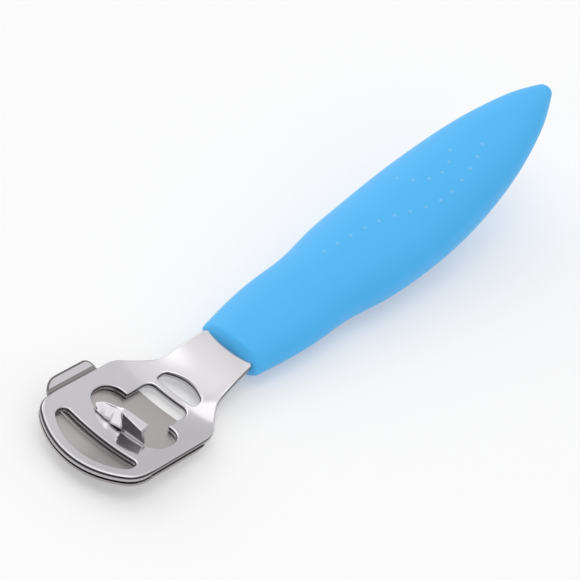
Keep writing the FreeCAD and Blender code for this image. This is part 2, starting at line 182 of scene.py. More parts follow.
def rounded(corners):
    """Polygon with a round of the given radius at each corner (x, y, radius)."""
    found = []
    total = len(corners)
    for i, (x, y, radius) in enumerate(corners):
        here = np.array((x, y))
        before = np.array(corners[i - 1][:2]) - here
        after = np.array(corners[(i + 1) % total][:2]) - here
        before /= np.hypot(*before)
        after /= np.hypot(*after)
        half_angle = math.acos(np.clip(before @ after, -1, 1)) / 2
        if radius <= 0 or abs(half_angle - math.pi / 2) < 1e-4:
            found.append(here[None])
            continue
        middle = before + after
        centre = here + middle / np.hypot(*middle) * radius / math.sin(half_angle)
        first = here + before * radius / math.tan(half_angle) - centre
        last = here + after * radius / math.tan(half_angle) - centre
        start = math.atan2(first[1], first[0])
        sweep = (math.atan2(last[1], last[0]) - start + math.pi) % (2 * math.pi) - math.pi
        count = max(int(abs(sweep) * radius / ARC_STEP), 8)
        angle = start + sweep * np.linspace(0, 1, count)
        found.append(centre + radius * np.column_stack((np.cos(angle), np.sin(angle))))
    return np.vstack(found)


def mirrored(half):
    """Loop of a right half and its mirror image."""
    return np.vstack((half, half[::-1] * (-1, 1)))


def both_sides(half):
    """Outline from the corners of its right half, front to rear, mirrored to the left."""
    return rounded(half + [(-x, y, radius) for x, y, radius in reversed(half)])


def bowed(half_width, straight_y, bow_y, bow_radius, bow_corner, square_corner):
    """Outline with one straight end, straight sides and one end bowed to an arc."""
    way = 1 if bow_y > straight_y else -1
    centre_y = bow_y - way * bow_radius
    corner_x = half_width - bow_corner
    rise = math.sqrt((bow_radius - bow_corner) ** 2 - corner_x**2)
    reach = math.atan2(corner_x, rise)
    turn = np.linspace(0, reach, 60)
    bow = np.column_stack((bow_radius * np.sin(turn), centre_y + way * bow_radius * np.cos(turn)))

    def corner(x, y, radius, start, end, count):
        """Points on an arc about (x, y), by angles from the X axis towards the bow."""
        angle = np.linspace(start, end, count)
        return np.column_stack((x + radius * np.cos(angle), y + way * radius * np.sin(angle)))

    half = np.vstack((bow, corner(corner_x, centre_y + way * rise, bow_corner, math.pi / 2 - reach, 0, 40),
                      corner(half_width - square_corner, straight_y + way * square_corner, square_corner,
                             0, -math.pi / 2, 30)))
    ring = mirrored(half)
    return ring if way < 0 else ring[::-1]


def bow_depth(half_width, bow_radius, bow_corner):
    """How far the bow's middle lies past the ends of the sides."""
    return bow_radius - math.sqrt((bow_radius - bow_corner) ** 2 - (half_width - bow_corner) ** 2)


def turned_left(ring):
    """The same loop, counter-clockwise."""
    x, y = ring.T
    area = np.sum(x * np.roll(y, -1) - np.roll(x, -1) * y)
    return ring if area > 0 else ring[::-1]


def inward(ring):
    """Unit normals of a counter-clockwise loop, pointing to its inside."""
    tangent = np.roll(ring, -1, axis=0) - np.roll(ring, 1, axis=0)
    tangent /= np.hypot(*tangent.T)[:, None]
    return np.column_stack((-tangent[:, 1], tangent[:, 0]))


def inside(points, ring):
    """Which points lie in the closed loop: an odd number of its edges lies to their right."""
    x, y = points.T
    ax, ay = ring.T
    bx, by = np.roll(ring, -1, axis=0).T
    x, y = x[:, None], y[:, None]
    span = np.where(by == ay, 1e-12, by - ay)
    at = ax + (y - ay) * (bx - ax) / span
    return (((ay > y) != (by > y)) & (x < at)).sum(1) % 2 == 1


def within(points, outer, holes):
    """Which points lie in the outer loop and in none of the holes."""
    keep = inside(points, outer)
    for hole in holes:
        keep &= ~inside(points, hole)
    return keep


def next_along(rings):
    """For each point of the loops laid end to end, the index of the next point of its own loop."""
    starts = np.cumsum([0] + [len(ring) for ring in rings[:-1]])
    return np.concatenate([start + np.roll(np.arange(len(ring)), -1) for start, ring in zip(starts, rings)])


def filled(outer, holes, spacing):
    """Triangles between an outer loop and its holes, with an even triangular grid inside."""
    low, high = outer.min(0), outer.max(0)
    rows = np.arange(low[1], high[1], spacing * math.sqrt(0.75))
    columns = np.arange(low[0], high[0], spacing)
    grid_x = columns[None] + (np.arange(len(rows)) % 2)[:, None] * spacing / 2
    grid = np.column_stack((grid_x.ravel(), np.repeat(rows, len(columns))))
    grid = grid[within(grid, outer, holes)]
    rings = [outer] + holes
    border = np.vstack(rings)
    nearest = np.full(len(grid), np.inf)
    for chunk in np.array_split(border, max(len(border) // 400, 1)):
        gap = np.hypot(*np.moveaxis(grid[:, None] - chunk, -1, 0))
        nearest = np.minimum(nearest, gap.min(1))
    points = np.vstack((border, grid[nearest > spacing * 0.55]))
    edges = np.column_stack((np.arange(len(border)), next_along(rings))).tolist()
    result = delaunay_2d_cdt([Vector(p) for p in points.tolist()], edges, [], 0, 1e-7, True)
    origin = np.array([source[0] for source in result[3]])
    triangles = origin[np.array(result[2])]
    triangles = triangles[within(points[triangles].mean(1), outer, holes)]
    a, b, c = points[triangles.T]
    (bx, by), (cx, cy) = (b - a).T, (c - a).T
    clockwise = bx * cy - by * cx < 0
    triangles[clockwise] = triangles[clockwise][:, ::-1]
    return points, triangles


def sheet_metal(outer, holes, upper, lower, spacing, top_rounding, base_rounding):
    """Closed sheet between two height functions, with rounded rims.

    A rim point at the angle f of its round lies r * (1 - sin f) in from the outline and
    r * (1 - cos f) inside the face, for f from 90 degrees on the wall to 0 on the face.
    """
    rings = [turned_left(outer)] + [turned_left(hole)[::-1] for hole in holes]
    border = np.vstack(rings)
    into = np.vstack([inward(ring) for ring in rings])
    top_radius, base_radius = (np.zeros(len(border)) + r for r in (top_rounding(border), base_rounding))
    moved = border + into * (np.maximum(top_radius, base_radius) + 0.02)[:, None]
    outer, *holes = np.split(moved, np.cumsum([len(ring) for ring in rings])[:-1])
    points, triangles = filled(outer, holes, spacing)
    layers = [np.column_stack((points, upper(points)))]
    for face, way, radius, angles in ((upper, -1, top_radius, (0, 22, 44, 66, 90)),
                                      (lower, 1, base_radius, (90, 45, 0))):
        for angle in np.radians(angles):
            plan = border + into * (radius * (1 - math.sin(angle)))[:, None]
            layers.append(np.column_stack((plan, face(plan) + way * radius * (1 - math.cos(angle)))))
    layers.append(np.column_stack((points, lower(points))))
    starts = np.cumsum([0] + [len(layer) for layer in layers[:-1]])
    rows = [start + np.arange(len(border)) for start in starts]
    following = next_along(rings)
    quads = [np.column_stack((a, b, b[following], a[following])) for a, b in zip(rows[:-1], rows[1:])]
    faces = triangles.tolist() + np.vstack(quads).tolist() + (triangles[:, ::-1] + starts[-1]).tolist()
    return np.vstack(layers), faces


# Heights of the head's upper and lower faces. The neck bends up to its steepest, then part of the way back.

LOWER_BEND, UPPER_BEND = 40, 45  # radii of the two bends, mm
STEEPEST, END_SLOPE = math.radians(25), math.radians(10.5)


def midline_slope(y, head):
    """Slope of the bent sheet: its sine grows by 1 / radius along one arc and falls along the next."""
    rise = math.sin(STEEPEST)
    first = (y - head.bend_y) / LOWER_BEND
    second = rise - (y - head.bend_y - LOWER_BEND * rise) / UPPER_BEND
    slope = np.where(first < rise, np.arcsin(np.clip(first, 0, rise)), np.arcsin(np.clip(second, 0, rise)))
    return np.where(second < math.sin(END_SLOPE), END_SLOPE, slope)


def second_bend_centre(head):
    """Y and Z of the point about which the sheet bends back."""
    reach = LOWER_BEND + UPPER_BEND
    return head.bend_y + reach * math.sin(STEEPEST), LOWER_BEND - reach * math.cos(STEEPEST)


def midline_height(y, head):
    """Height of the sheet's upper face at its middle: the integral of that slope."""
    centre_y, centre_z = second_bend_centre(head)
    end_y = centre_y - UPPER_BEND * math.sin(END_SLOPE)
    end_z = centre_z + UPPER_BEND * math.cos(END_SLOPE)
    slope = midline_slope(y, head)
    in_first = LOWER_BEND * (1 - np.cos(slope))
    in_second = centre_z + UPPER_BEND * np.cos(slope)
    bent = np.where(y < head.bend_y + LOWER_BEND * math.sin(STEEPEST), in_first, in_second)
    return np.where(y > end_y, end_z + (y - end_y) * math.tan(END_SLOPE), bent)


def eased(share):
    """Smooth step of a share, held between 0 and 1."""
    share = np.clip(share, 0, 1)
    return share * share * (3 - 2 * share)


def sheet_height(points, head, depth):
    """Height of the dished sheet at plan points, depth below its upper face.

    A section square to the midline is an arc of radius R + depth about a point R above it.
    The section through a plan point is found by four steps of y_mid = y + offset * sin(slope).
    """
    x, y = points.T
    middle = y
    for _ in range(4):
        blend = eased((middle - head.bend_y) / (head.mouth_y - head.bend_y))
        radius = 1 / ((1 - blend) / head.dish_radius + blend / head.neck_dish_radius)
        offset = radius - np.sqrt((radius + depth) ** 2 - x**2)
        middle = y + offset * np.sin(midline_slope(middle, head))
    return midline_height(middle, head) + offset * np.cos(midline_slope(middle, head))


def dish_height(radius):
    """Height function of a cylinder of this radius about the dish's axis: R - sqrt(radius^2 - x^2)."""
    centre = sizes("head").dish_radius
    return lambda points: centre - np.sqrt(radius**2 - points[:, 0] ** 2)


# Plan shapes. A bowed hole has a straight end, sides and a bowed end on the given side of it along Y.
# The others are the right half's corners, front to rear, as (x, y, radius).

WINDOW = {"half_width": 11.8, "straight_y": -20.9, "way": -1, "side": 0.5, "bow_radius": 19.0,
          "bow_corner": 2.6, "square_corner": 1.8}
MOON = {"half_width": 6.1, "straight_y": 5.4, "way": 1, "side": 0.9, "bow_radius": 10.0,
        "bow_corner": 1.6, "square_corner": 0.9}
KEYHOLE = [(11.8, -14.5, 4.6), (11.8, -4.4, 4.6), (6.6, -4.4, 0.5), (6.6, 3.6, 2.2)]
BLADE_SLOT = [(3.8, -14.6, 0.4), (3.8, -13.1, 0.4)]
SLIT = [(14.8, -21.6, 0.3), (14.8, -20.9, 0.3)]
CUTOUT = [(7.6, -13.5, 0.8), (7.6, -6.3, 0.8)]
HEAD_SIDES_Y = -8.0
LIP_FADE_Y, LIP_FADE = -19.0, 6  # where the lip's wide rounding ends, and the length over which it grows
TANG_HALF_WIDTH, TANG_END_Y = 6.2, 56.0
BLADE_FRONT_ROUND, BLADE_REAR_ROUND = 0.8, 4.5
HONED_SHARE = 0.7  # share of the blade's thickness that the bevel takes off at the edge
PLATE_FRONT_ROUND, PLATE_REAR_ROUND = 6.0, 1.6
TAB_REAR_Y, TAB_REAR_ROUND = -3.7, 2.2
TAB_FRONT_Y, TAB_FRONT_ROUND = -21.8, 6.2
RIM_STEP, OPENING_STEP, NARROW_STEP = 0.45, 0.36, 0.3  # spacing of the points on the outlines


def bowed_hole(half_width, straight_y, way, side, bow_radius, bow_corner, square_corner):
    """Bowed outline whose sides have the given length."""
    bow_y = straight_y + way * square_corner + way * side
    bow_y += way * bow_depth(half_width, bow_radius, bow_corner)
    return bowed(half_width, straight_y, bow_y, bow_radius, bow_corner, square_corner)


def head_outlines():
    """Outline of the head with its neck and tang, and the loops of its three openings."""
    head = sizes("head")
    width = head.half_width
    front = bowed(width, -4.0, head.lip_y, head.lip_radius, head.lip_corner, 0.01)
    front = front[(front[:, 0] > 0) & (front[:, 1] < HEAD_SIDES_Y)]
    right = rounded([(width, HEAD_SIDES_Y, 0), (width, 0.6, 8.0), (9.1, 10.3, 9.0), (7.9, head.mouth_y, 0),
                     (TANG_HALF_WIDTH, head.mouth_y + 2, 0), (TANG_HALF_WIDTH, TANG_END_Y, 1.5),
                     (0.0, TANG_END_Y, 0)])
    outline = mirrored(np.vstack((front, right[right[:, 0] > 0])))
    return outline, [bowed_hole(**WINDOW), both_sides(KEYHOLE), bowed_hole(**MOON)]


def head_plate_mesh():
    """Head plate: dished sheet, one plate thickness deep."""
    head = sizes("head")
    outline, holes = head_outlines()
    outer = evenly(outline, RIM_STEP)

    def rounding(border):
        """Wide at the front lip, fading to the small rounding of the other edges."""
        lip = eased((LIP_FADE_Y - border[:, 1]) / LIP_FADE)
        on_rim = np.arange(len(border)) < len(outer)
        return head.edge_rounding + np.where(on_rim, lip * (head.lip_roll - head.edge_rounding), 0)

    return sheet_metal(outer, [evenly(hole, OPENING_STEP) for hole in holes],
                       lambda p: sheet_height(p, head, 0.0),
                       lambda p: sheet_height(p, head, head.plate_thickness),
                       head.spacing, rounding, 0.15)


def blade_mesh():
    """Blade: strip on a cylinder about the dish's axis, a clearance below the head plate."""
    head, blade = sizes("head"), sizes("blade")
    outline = both_sides([(blade.half_width, blade.edge_y, BLADE_FRONT_ROUND),
                          (blade.half_width, blade.edge_y + blade.depth, BLADE_REAR_ROUND)])
    top = head.dish_radius + head.plate_thickness + blade.clearance

    def lower(points):
        """The underside rises over the bevel to a thin edge."""
        honed = np.clip(1 - (points[:, 1] - blade.edge_y) / blade.bevel, 0, 1)
        return dish_height(top + blade.thickness)(points) + honed * blade.thickness * HONED_SHARE

    return sheet_metal(evenly(outline, 0.4), [evenly(both_sides(BLADE_SLOT), NARROW_STEP)],
                       dish_height(top), lower, 0.8, lambda border: 0.03, 0.02)


def clamp_mesh():
    """Sole plate: sheet on a cylinder below the blade, with the tab's outline in its left side."""
    head, blade, clamp = sizes("head"), sizes("blade"), sizes("clamp")
    width = clamp.half_width
    plate = bowed(width, clamp.rear_y, clamp.front_y, clamp.front_radius,
                  PLATE_FRONT_ROUND, PLATE_REAR_ROUND)
    right = plate[plate[:, 0] > 0]
    root, reach = 4 - width, -width - clamp.tab_reach
    tab = rounded([(root, TAB_REAR_Y, 0), (reach, TAB_REAR_Y, TAB_REAR_ROUND),
                   (reach, TAB_FRONT_Y, TAB_FRONT_ROUND), (root, TAB_FRONT_Y, 0)])
    tab = tab[tab[:, 0] < -width]
    left = (right * (-1, 1))[::-1]
    before = left[left[:, 1] > tab[0, 1]]
    after = left[left[:, 1] < tab[-1, 1]]
    outline = np.vstack((right, before, tab, after))
    top = head.dish_radius + head.plate_thickness + blade.clearance + blade.thickness
    holes = [evenly(both_sides(corners), NARROW_STEP) for corners in (SLIT, CUTOUT)]
    return sheet_metal(evenly(outline, RIM_STEP), holes, dish_height(top),
                       dish_height(top + clamp.thickness), 0.9, lambda border: 0.2, 0.2)


# Catch: a strip whose folded section is walked from the left wing's tip to the right wing's tip.

FOLDS = np.array((0.6, 0.9, 0.9, 0.9, 0.8, 0.6, 0.3, 0.25))  # size of the fold at each station, mm
STEM_FRONT_Y, STEM_LEFT, STEM_RIGHT = -14.2, -3.4, 1.4
STEM_FOOT, STEM_ROUND = -2.6, 0.2


def catch_stations(clamp):
    """Rear edge, ridge and lip of the strip at eight places: left wing, hooked nose, skirted right wing."""
    left, right, top = -clamp.left_span, clamp.right_span, clamp.catch_height
    nose = -14.6 - clamp.nose_reach
    skirt, wing_top = -14.8, 3.6
    return np.array([
        ((left - 0.1, -14.3, 1.45), (left, -14.5, 1.75), (left + 1.1, -15.5, 1.05)),
        ((left + 1.9, -14.1, top - 1.15), (left + 2.1, -14.35, top - 0.9), (left + 2.7, nose, 0.6)),
        ((-4.3, -13.8, top - 0.6), (-4.1, -14.2, top - 0.45), (-3.9, nose, 0.75)),
        ((-3.1, -13.4, top - 0.5), (-3.0, -13.8, top - 0.4), (-2.8, -15.1, 0.75)),
        ((-2.3, -13.2, top - 0.3), (-2.2, -13.8, top - 0.25), (-1.9, nose - 0.3, 0.55)),
        ((-1.1, -13.2, top + 0.2), (-0.6, -14.1, top + 0.15), (0.7, nose, 0.85)),
        ((-0.6, -13.2, top + 0.4), (-0.2, skirt, top + 0.4), (1.1, skirt, 0.35)),
        ((right - 0.4, -11.6, wing_top), (right + 0.1, skirt, wing_top), (right + 1.6, skirt, 0.8))])


def unit(vectors):
    return vectors / np.linalg.norm(vectors, axis=-1, keepdims=True)


def catch_head_mesh(clamp):
    """Strip one thickness deep: two straight leaves joined by a quadratic curve, with half round edges.

    Between the stations the leading points and the size of the curve are means, blurred over half a
    station. The second result says which vertices lie on the underside.
    """
    stations = catch_stations(clamp)
    final = len(stations) - 1
    blur = np.linspace(0, final, 161)[:, None] + np.linspace(-0.25, 0.25, 11)
    blur = np.clip(blur, 0, final)
    before = np.minimum(blur.astype(int), final - 1)
    share = blur - before
    wide = share[..., None, None]
    lead = (stations[before] * (1 - wide) + stations[before + 1] * wide).mean(1)
    curve = (FOLDS[before] * (1 - share) + FOLDS[before + 1] * share).mean(1)[:, None]
    rear, ridge, lip = lead[:, 0], lead[:, 1], lead[:, 2]
    first, second = ridge - rear, lip - ridge
    long_first, long_second = (np.linalg.norm(leaf, axis=1, keepdims=True) for leaf in (first, second))
    first, second = first / long_first, second / long_second
    plane = unit(np.cross(first, second))
    start = ridge - first * np.minimum(curve, long_first * 0.6)
    end = ridge + second * np.minimum(curve, long_second * 0.6)
    t = np.linspace(0, 1, 9)[:, None, None]
    leaf = np.linspace(0, 1, 6, endpoint=False)[:, None, None]
    bend = start * (1 - t) ** 2 + ridge * 2 * t * (1 - t) + end * t**2
    outer = np.concatenate((rear + (start - rear) * leaf, bend[:-1], end + (lip - end) * leaf, lip[None]))
    turned = unit(start * (t - 1) + ridge * (1 - 2 * t) + end * t)
    direction = np.concatenate(([first] * len(leaf), turned[:-1], [second] * (len(leaf) + 1)))
    under = np.cross(plane, direction)
    deep = clamp.catch_thickness

    def half_round(edge, ahead, down, way):
        """Half an ellipse round an edge, from the upper face to the underside for way 1."""
        turn = way * np.radians((65, 30, -30, -65))[:, None, None]
        return edge + down * deep / 2 + (ahead * 0.25 * np.cos(turn) - down * 0.5 * np.sin(turn)) * deep

    ring = np.concatenate((outer, half_round(lip, second, under[-1], 1), (outer + under * deep)[::-1],
                           half_round(rear, -first, under[0], -1))).transpose(1, 0, 2)
    below = np.arange(ring.shape[1]) >= len(outer) + 2
    return tube(ring), np.concatenate((np.tile(below, len(ring)), (True, True)))


def tube(rings):
    """Closed skin over a row of rings, with a middle point at each end."""
    rows, around = rings.shape[:2]
    i, j = np.meshgrid(np.arange(rows - 1), np.arange(around), indexing="ij")
    k = (j + 1) % around
    quads = np.stack((i * around + j, i * around + k, (i + 1) * around + k, (i + 1) * around + j), -1)
    quads = quads.reshape(-1, 4)
    column = np.arange(around)
    after = np.roll(column, -1)
    ends = np.full(around, rows * around)
    last = (rows - 1) * around
    faces = (quads.tolist() + np.column_stack((ends, after, column)).tolist()
             + np.column_stack((ends + 1, last + column, last + after)).tolist())
    points = np.vstack((rings.reshape(-1, 3), rings[0].mean(0), rings[-1].mean(0)))
    a, b, c = points[quads[:, :3].T] - points[0]
    if np.sum(np.cross(a, b) * c) < 0:
        faces = [face[::-1] for face in faces]
    return points, faces


def stem_mesh(clamp):
    """Upright strip of the catch: a rounded rectangle in plan, extruded from the sole plate's underside."""
    rear_y = STEM_FRONT_Y + clamp.catch_thickness
    corners = [(STEM_LEFT, STEM_FRONT_Y), (STEM_RIGHT, STEM_FRONT_Y),
               (STEM_RIGHT, rear_y), (STEM_LEFT, rear_y)]
    ring = evenly(rounded([(x, y, STEM_ROUND) for x, y in corners]), 0.15)
    levels = np.linspace(STEM_FOOT, clamp.catch_height - 1.8, 8)
    return tube(np.stack([np.column_stack((ring, np.full(len(ring), level))) for level in levels]))


def joined(*meshes):
    """Several meshes as one list of vertices and faces."""
    vertices, faces, total = [], [], 0
    for points, polygons in meshes:
        vertices.append(points)
        faces += [[index + total for index in polygon] for polygon in polygons]
        total += len(points)
    return np.vstack(vertices), faces


# Handle. Its whole widths and depths are pairs of a distance from the mouth and a size, in mm.

WIDTHS = ((0, 18.3), (11, 21.8), (22, 23.6), (33, 23.9), (45, 27.3), (56, 28.9), (67, 29.4), (79, 28.6),
          (90, 26.4), (101, 22.8), (111, 17.5), (120, 10.6))
DEPTHS = ((0, 9.7), (22, 11.6), (45, 14.7), (67, 16.1), (90, 14.7), (111, 9.6), (120, 7.2))
TIP_START = math.radians(25)  # angle of the tip's round at which it takes over from the sides
TIP_FLATNESS = 0.75
MOUTH_DEPTH_SHARE = 1.7  # the mouth's rounding in depth against that in width
AROUND = 96


def smooth_through(pairs, at):
    """Natural cubic spline through the pairs: the second derivatives solve a tridiagonal system."""
    knots, values = np.array(pairs, float).T
    step = np.diff(knots)
    size = len(knots)
    system = np.zeros((size, size))
    right = np.zeros(size)
    system[0, 0] = system[-1, -1] = 1
    inner = np.arange(1, size - 1)
    system[inner, inner - 1] = step[:-1]
    system[inner, inner] = 2 * (step[:-1] + step[1:])
    system[inner, inner + 1] = step[1:]
    right[inner] = 6 * (np.diff(values)[1:] / step[1:] - np.diff(values)[:-1] / step[:-1])
    bend = np.linalg.solve(system, right)
    i = np.clip(np.searchsorted(knots, at) - 1, 0, size - 2)
    h = step[i]
    before, after = knots[i + 1] - at, at - knots[i]
    return ((bend[i] * before**3 + bend[i + 1] * after**3) / (6 * h)
            + (values[i] / h - bend[i] * h / 6) * before
            + (values[i + 1] / h - bend[i + 1] * h / 6) * after)


def handle_spine(distance, head, handle):
    """Centre line: straight behind the mouth, an arc up to the rear slope, then straight."""
    slope, top = END_SLOPE, math.radians(handle.rear_slope)
    mouth_y = second_bend_centre(head)[0] - UPPER_BEND * math.sin(slope)
    mouth_z = midline_height(np.array([mouth_y]), head)[0]
    start_y = mouth_y - handle.advance * math.cos(slope) + handle.drop * math.sin(slope)
    start_z = mouth_z - handle.advance * math.sin(slope) - handle.drop * math.cos(slope)
    run, radius = handle.front_run, handle.bend_radius
    arc = radius * (top - slope)
    first = np.minimum(distance, run)
    here = slope + np.clip(distance - run, 0, arc) / radius
    last = np.maximum(distance - run - arc, 0)
    y = start_y + math.cos(slope) * first + radius * (np.sin(here) - math.sin(slope)) + np.cos(here) * last
    z = start_z + math.sin(slope) * first + radius * (math.cos(slope) - np.cos(here)) + np.sin(here) * last
    return y, z, here


def handle_girth(distance, handle):
    """Half width and half depth along the handle, rounded over at its mouth and its tip."""
    tip_start = handle.length - handle.tip_radius * (1 - math.sin(TIP_START))
    tip_half = handle.tip_radius * math.cos(TIP_START)
    along = np.minimum(distance, tip_start)
    wide = smooth_through(WIDTHS + ((tip_start, 2 * tip_half),), along) / 2
    deep = smooth_through(DEPTHS + ((tip_start, 2 * TIP_FLATNESS * tip_half),), along) / 2
    lean = np.clip(1 - (handle.length - distance) / handle.tip_radius, 0, 1)
    round_tip = handle.tip_radius * np.sqrt(1 - lean**2)
    in_tip = distance > tip_start
    wide = np.where(in_tip, round_tip, wide)
    deep = np.where(in_tip, round_tip * TIP_FLATNESS, deep)
    gap = np.clip(1 - distance / handle.mouth_rounding, 0, 1)
    inset = handle.mouth_rounding * (1 - np.sqrt(1 - gap**2))
    return wide - inset, deep - inset * MOUTH_DEPTH_SHARE


def section_point(angle, fullness):
    """Unit section of four cubic quarters: the angle's quarter is walked by its own fraction."""
    turns = angle / (math.pi / 2)
    quarter = np.floor(turns).astype(int) % 4
    t = turns - np.floor(turns)
    near = (1 - t) ** 3 + 3 * (1 - t) ** 2 * t + 3 * (1 - t) * t**2 * fullness
    far = t**3 + 3 * (1 - t) * t**2 + 3 * (1 - t) ** 2 * t * fullness
    across = np.choose(quarter, (near, -far, -near, far))
    up = np.choose(quarter, (far, near, -far, -near))
    return across, up


def handle_points(distance, angle):
    """Surface point for a distance along the handle and an angle round it."""
    head, handle = sizes("head"), sizes("handle")
    y, z, slope = handle_spine(distance, head, handle)
    wide, deep = handle_girth(distance, handle)
    across, up = section_point(angle, handle.fullness)
    return np.stack((wide * across, y - np.sin(slope) * deep * up, z + np.cos(slope) * deep * up), -1)


def handle_mesh():
    """Handle: sections along the spine, closer together at the mouth and the tip."""
    handle = sizes("handle")
    lean = np.linspace(0, math.pi / 2, 7)
    mouth = handle.mouth_rounding * (1 - np.cos(lean))
    tip = handle.length - handle.tip_radius * (1 - np.sin(np.linspace(0.25, math.pi / 2, 12)))
    body = np.linspace(handle.mouth_rounding, tip[0], 110)
    distance = np.concatenate((mouth[:-1], body[:-1], tip[:-1]))
    angle = np.linspace(0, 2 * math.pi, AROUND, endpoint=False)
    return tube(handle_points(*np.meshgrid(distance, angle, indexing="ij")))


# Grip dots: places along the two rows as a distance from the mouth in mm and an angle round the handle.

UPPER_ROW = ((38.8, 103.5), (48.0, 98.0), (57.8, 91.0), (66.2, 78.5), (75.0, 67.5), (84.0, 68.0),
             (93.2, 76.0), (97.4, 83.0))
SIDE_ROW = ((72.8, 117.5), (74.6, 103.0), (80.0, 89.0), (86.4, 92.5), (89.8, 102.0))
UPPER_DOTS, SIDE_DOTS = 14, 6
DOT_SINK = 0.03  # how far a dot's rim lies in the handle, mm


def dot_places(row, count):
    """Distances and angles of a row's dots, evenly spaced along a smooth curve through its points."""
    row = np.array(row)
    knots = np.arange(len(row))
    fine = np.linspace(0, len(row) - 1, 400)
    distance, angle = (smooth_through(list(zip(knots, column)), fine) for column in row.T)
    places = handle_points(distance, np.radians(angle))
    along = np.concatenate(([0.0], np.cumsum(np.linalg.norm(np.diff(places, axis=0), axis=1))))
    at = np.linspace(0, along[-1], count)
    return np.interp(at, along, distance), np.radians(np.interp(at, along, angle))


def dots_mesh():
    """Shallow caps: radius r * sin f and height h * cos f over the handle's tangent plane."""
    handle = sizes("handle")
    places = [dot_places(UPPER_ROW, UPPER_DOTS), dot_places(SIDE_ROW, SIDE_DOTS)]
    distance, angle = (np.concatenate(column) for column in zip(*places))
    centre = handle_points(distance, angle)
    along = unit(handle_points(distance + 0.1, angle) - centre)
    around = unit(handle_points(distance, angle + 0.01) - centre)
    out = unit(np.cross(around, along))
    out *= np.sign(np.sum(out * (centre - handle_points(distance, angle + math.pi)), 1))[:, None]
    around = np.cross(out, along)
    lean = np.radians((90, 68, 46, 24))
    turn = np.linspace(0, 2 * math.pi, 14, endpoint=False)
    wide, rise = handle.dot_radius * np.sin(lean), handle.dot_height * np.cos(lean) - DOT_SINK
    cap = np.stack([np.column_stack((r * np.cos(turn), r * np.sin(turn), np.full(len(turn), z)))
                    for r, z in zip(wide, rise)])
    points, faces = tube(cap)
    points[-2:] = (0, 0, -0.3), (0, 0, handle.dot_height - DOT_SINK)
    axes = np.stack((along, around, out), 1)
    return joined(*((middle + points @ turned, faces) for middle, turned in zip(centre, axes)))


# Materials.


def both_ways(operation):
    """An operator's method and its reflected form, as Math nodes."""
    return (lambda self, other: self.combined(operation, self, other),
            lambda self, other: self.combined(operation, other, self))


class Socket:
    """Wraps a node output, so shader maths reads as a Python expression."""

    def __init__(self, paint, output):
        self.paint = paint
        self.output = output

    def combined(self, operation, *values):
        return self.paint.node("ShaderNodeMath", {"operation": operation}, dict(enumerate(values)))

    __add__, __radd__ = both_ways("ADD")
    __sub__, __rsub__ = both_ways("SUBTRACT")
    __mul__, __rmul__ = both_ways("MULTIPLY")
    __pow__, __rpow__ = both_ways("POWER")

    def __neg__(self):
        return self * -1.0

    def magnitude(self):
        return self.combined("ABSOLUTE", self)

    def clamped(self):
        return self.combined("MINIMUM", self.combined("MAXIMUM", self, 0.0), 1.0)


class Wiring:
    """A node tree that is built by expressions."""

    def __init__(self, tree):
        self.tree = tree

    def node(self, kind, settings, inputs, output=0):
        """A node with its settings, and the values or links of its inputs by name or number."""
        made = self.tree.nodes.new(kind)
        for name, value in settings.items():
            setattr(made, name, value)
        for name, value in inputs.items():
            socket = made.inputs[name]
            if isinstance(value, Socket):
                self.tree.links.new(value.output, socket)
            else:
                socket.default_value = value
        return Socket(self, made.outputs[output])

    def step(self, value, start, end):
        """Smooth step from 0 at the start to 1 at the end."""
        return self.node("ShaderNodeMapRange", {"interpolation_type": "SMOOTHSTEP"},
                         {"Value": value, "From Min": start, "From Max": end})

    def split(self, vector):
        parts = self.node("ShaderNodeSeparateXYZ", {}, {"Vector": vector}).output.node
        return [Socket(self, output) for output in parts.outputs]


class Paint(Wiring):
    """One node material with a Principled shader."""

    def __init__(self, name, **fixed):
        self.material = bpy.data.materials.new(name)
        self.material.use_nodes = True
        super().__init__(self.material.node_tree)
        self.shader = self.tree.nodes["Principled BSDF"]
        for socket, value in fixed.items():
            self.shader.inputs[socket.replace("_", " ")].default_value = value
        self.place = self.node("ShaderNodeTexCoord", {}, {}, "Object")

    def on_head(self):
        """X, Y and Z of the head's own frame in mm."""
        return self.split(self.node("ShaderNodeMapping", {"vector_type": "TEXTURE"}, {
            "Vector": self.place, "Location": [mm / 1000 for mm in REST_SHIFT],
            "Rotation": (HEAD_LEAN, 0, 0), "Scale": (0.001, 0.001, 0.001)}))

    def measured(self, name):
        return self.node("ShaderNodeAttribute", {"attribute_name": name}, {}, "Fac")

    def stretched(self, scale):
        return self.node("ShaderNodeMapping", {}, {"Vector": self.place, "Scale": scale})

    def noise(self, vector, scale, detail=2.0, roughness=0.5):
        return self.node("ShaderNodeTexNoise", {}, {"Vector": vector, "Scale": scale, "Detail": detail,
                                                    "Roughness": roughness})

    def mixed(self, share, first, second):
        return self.node("ShaderNodeMix", {"data_type": "RGBA"}, {0: share, 6: first, 7: second}, 2)

    def bump(self, height, strength, distance):
        return self.node("ShaderNodeBump", {},
                         {"Height": height, "Strength": strength, "Distance": distance})

    def feed(self, **links):
        for socket, value in links.items():
            self.tree.links.new(value.output, self.shader.inputs[socket.replace("_", " ")])
        return self.material


def shade(name, factor=1.0):
    """A finish's colour, lightened or darkened by the factor."""
    return (*[min(channel * factor, 1.0) for channel in getattr(sizes("finishes"), f"{name}_color")], 1.0)


